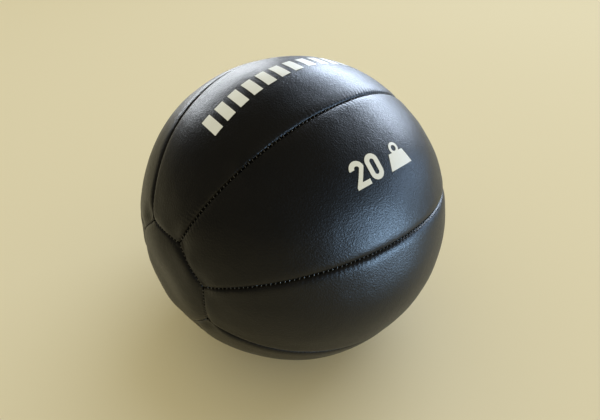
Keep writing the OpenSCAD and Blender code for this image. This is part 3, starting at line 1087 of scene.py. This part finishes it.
def pleats_at(z):
    """Depth of the sack's pleats, as a share of its radius: none on the belly, most in the frill."""
    rise = np.clip((z - 0.86 * SACK_R) / (0.14 * SACK_R), 0, 1) ** 2
    frill = np.clip((z - TIE_HIGH) / (FRILL_Z - TIE_HIGH), 0, 1)
    return 0.05 * rise + 0.13 * frill


def belly(radius, top):
    """Round lower part of the sack's profile, from its lowest point up to a height."""
    highest = asin(top / radius)
    return [(radius * cos(a), radius * sin(a)) for a in np.linspace(-pi / 2, highest, 70)]


def sack(material):
    shoulder_r = 2 * NECK_R
    shoulder_z = sqrt(SACK_R**2 - shoulder_r**2)
    outer = belly(SACK_R, 0.975 * shoulder_z)
    outer += curve([(shoulder_r, shoulder_z + MM), (1.2 * NECK_R, TIE_LOW - 3 * MM), (NECK_R, TIE_LOW),
                    (NECK_R, TIE_HIGH), (1.3 * NECK_R, TIE_HIGH + 3 * MM), (FRILL_R, FRILL_Z)], 26)
    outer += curve([(FRILL_R - SACK_T, FRILL_Z), (0.9 * NECK_R, TIE_HIGH + 4 * MM),
                    (0, TIE_HIGH + 2 * MM)], 10)
    hollow = belly(SACK_R - SACK_T, 0.96 * shoulder_z)
    hollow += curve([(shoulder_r, shoulder_z - 2 * MM), (0.7 * NECK_R, TIE_LOW - 4 * MM),
                     (0, TIE_LOW - 2 * MM)], 10)
    outer, hollow = revolve(outer, 264, pleats_at), revolve(hollow, 264, pleats_at)
    form = join([outer, (hollow[0], flip(hollow[1]))])
    piece("canvas_sack", form, material, "ballast_sack")


def tie(material):
    """Laid cord wound round the sack's neck."""
    turns = round((TIE_HIGH - TIE_LOW) / CORD_D)
    path = []
    for t in np.linspace(0, turns - 0.35, 190):
        z = TIE_LOW + CORD_D / 2 + (TIE_HIGH - TIE_LOW - CORD_D) * t / (turns - 0.35)
        reach = NECK_R + CORD_D / 2
        path.append((reach * cos(2 * pi * t), reach * sin(2 * pi * t), z))
    form = tube(path, CORD_D / 2, 15, lobes=3, lobe_depth=0.2, twist=0.55 / MM)
    piece("tie_cord", form, material, "sack_tie_cord")


def sand(material):
    """The sand fills the sack's belly and lies a little uneven on top."""
    radius = SACK_R - SACK_T - 0.2 * MM
    rings, columns = 90, 300
    parts = []
    for low in (True, False):
        points = dome(rings, columns, low) * radius
        ripples = 0.5 * MM * waves(points, 25 * MM, 950) + 0.15 * MM * waves(points, 7 * MM, 951)
        points[:, 2] = np.minimum(points[:, 2], radius - 2.5 * MM + ripples)
        skin = dome_faces(rings, columns)
        parts.append((points, flip(skin) if low else skin))
    made = piece("sand_ballast", join(parts), material, "ballast_sand")
    work = bmesh.new()
    work.from_mesh(made.data)
    bmesh.ops.remove_doubles(work, verts=work.verts, dist=0.001 * MM)
    work.to_mesh(made.data)
    work.free()


# ---- room, lights and camera ----

FLOOR_SIZE = 40.0
CAMERA_AZIMUTH, CAMERA_ELEVATION, CAMERA_ROLL = radians(-44.7), radians(37.4), radians(2.0)
CAMERA_DISTANCE = 2.87 * RADIUS
LENS, SENSOR = 24.66, 36      # millimetres
BALL_ASIDE, BALL_ABOVE = -0.0158, 0.0051    # where the ball's centre lies in the view, as tangents

# Azimuth and elevation in degrees; distance, width and height in metres; watts; colour.
LIGHTS = {
    "window_right": (104, 28, 2.2, 2.1, 0.76, 146, (0.70, 0.82, 1.0)),
    "window_side": (52, 14, 2.2, 1.2, 0.5, 27, (0.46, 0.68, 1.0)),
    "window_front": (16, 3, 2.2, 1.4, 0.5, 120, (0.46, 0.70, 1.0)),
    "window_back": (163, 15, 2.4, 1.6, 0.5, 42, (0.90, 0.95, 1.0)),
    "daylight": (95, 55, 5, 4.5, 4.5, 95, (0.76, 0.88, 1.0)),
}
FILL, MIRRORED, BACKDROP = (0.68, 0.61, 0.38, 1), (0.10, 0.10, 0.11, 1), (0.72, 0.69, 0.60, 1)


def look_direction(azimuth, elevation):
    """Unit vector from the ball towards an azimuth (0 is -Y, 90 is +X) and an elevation."""
    flat = cos(elevation)
    return Vector((sin(azimuth) * flat, -cos(azimuth) * flat, sin(elevation)))


def camera():
    back = look_direction(CAMERA_AZIMUTH, CAMERA_ELEVATION)
    right = Vector((0, 0, 1)).cross(back).normalized()
    up = back.cross(right)
    right, up = (right * cos(CAMERA_ROLL) + up * sin(CAMERA_ROLL),
                 up * cos(CAMERA_ROLL) - right * sin(CAMERA_ROLL))
    to_ball = (right * BALL_ASIDE + up * BALL_ABOVE - back).normalized()
    data = bpy.data.cameras.new("camera")
    data.lens = LENS
    data.sensor_width = SENSOR
    data.clip_start = 0.02
    thing = placed("camera", data)
    turn = Matrix((right, up, back)).transposed().to_4x4()
    thing.matrix_world = Matrix.Translation(CENTRE - to_ball * CAMERA_DISTANCE) @ turn
    bpy.context.scene.camera = thing


def area_light(name, azimuth, elevation, distance, width, height, power, colour):
    """Soft lamp that faces the ball: a window is only mirrored, and daylight only lights what is matt."""
    data = bpy.data.lights.new(name, "AREA")
    data.shape = "RECTANGLE"
    data.size, data.size_y = width, height
    data.energy = power
    data.color = colour
    thing = placed(name, data)
    way = look_direction(radians(azimuth), radians(elevation))
    thing.location = CENTRE + way * distance
    thing.rotation_euler = way.to_track_quat("Z", "Y").to_euler()
    thing.visible_camera = False
    thing.visible_glossy = name != "daylight"
    thing.visible_diffuse = name == "daylight"


def room():
    floor = new_object("floor", [(-1, -1, 0), (1, -1, 0), (1, 1, 0), (-1, 1, 0)], [(0, 1, 2, 3)])
    floor.scale = (FLOOR_SIZE / 2, FLOOR_SIZE / 2, 1)
    floor.location.z = FLOOR_Z - 0.1 * MM
    floor.data.materials.append(floor_look())
    surroundings()
    bpy.context.scene.view_settings.view_transform = "Standard"
    for name, values in LIGHTS.items():
        area_light(name, *values)


def surroundings():
    """Warm soft fill on everything matt, a dim room for the leather to mirror, and a pale backdrop."""
    world = bpy.data.worlds.new("room")
    world.use_nodes = True
    tree = world.node_tree
    path = tree.nodes.new("ShaderNodeLightPath")
    backdrop, mirrored = tree.nodes.new("ShaderNodeMix"), tree.nodes.new("ShaderNodeMix")
    for mix, ray in ((mirrored, "Is Glossy Ray"), (backdrop, "Is Camera Ray")):
        mix.data_type = "RGBA"
        tree.links.new(path.outputs[ray], mix.inputs["Factor"])
    mirrored.inputs[6].default_value = FILL
    mirrored.inputs[7].default_value = MIRRORED
    backdrop.inputs[7].default_value = BACKDROP
    tree.links.new(mirrored.outputs[2], backdrop.inputs[6])
    tree.links.new(backdrop.outputs[2], tree.nodes["Background"].inputs["Color"])
    bpy.context.scene.world = world


gores, caps = [Gore(i) for i in range(len(SIDES))], [Cap(i) for i in range(len(ENDS))]
panels = gores + caps
swell(panels)
leather_cover(panels, leather_look())
linings(panels, cloth_look("cotton_backing", (0.78, 0.72, 0.6, 1), (0.6, 0.54, 0.42, 1), 0.7 * MM))
waxed = thread_look()
seam_threads(waxed)
cap_threads(caps, waxed)
prints(gores, print_look())
stuffing(panels, fibre_look())
sack(cloth_look("canvas", (0.66, 0.58, 0.42, 1), (0.45, 0.38, 0.26, 1), 1.1 * MM))
tie(cord_look())
sand(sand_look())
sag()
room()
camera()
